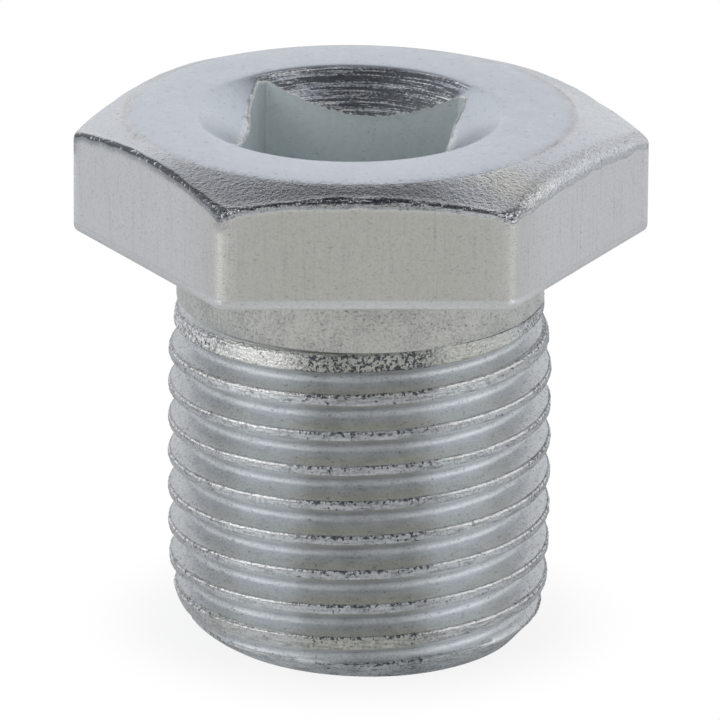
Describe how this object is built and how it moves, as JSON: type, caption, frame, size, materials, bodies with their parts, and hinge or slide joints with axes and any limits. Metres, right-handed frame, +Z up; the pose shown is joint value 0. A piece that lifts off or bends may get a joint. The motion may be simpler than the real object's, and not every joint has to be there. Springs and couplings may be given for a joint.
{
  "type": "drain plug",
  "caption": "One-piece zinc-plated steel drain plug with a low hexagon head, a dished square socket, a plain neck and a rolled right-hand thread",
  "frame": {"origin": "centre of the flat threaded end, on the thread's axis", "axes": "+Z up the thread's axis from the threaded end to the head, +X through a corner of the hexagon, +Y square to a flat of the hexagon"},
  "size_m": [0.0236, 0.0206, 0.0223],
  "materials": {
    "zinc_plated_steel": "bright zinc plating, satin"
  },
  "bodies": {
    "root": {"drain_plug": "zinc_plated_steel"}
  },
  "joints": []
}
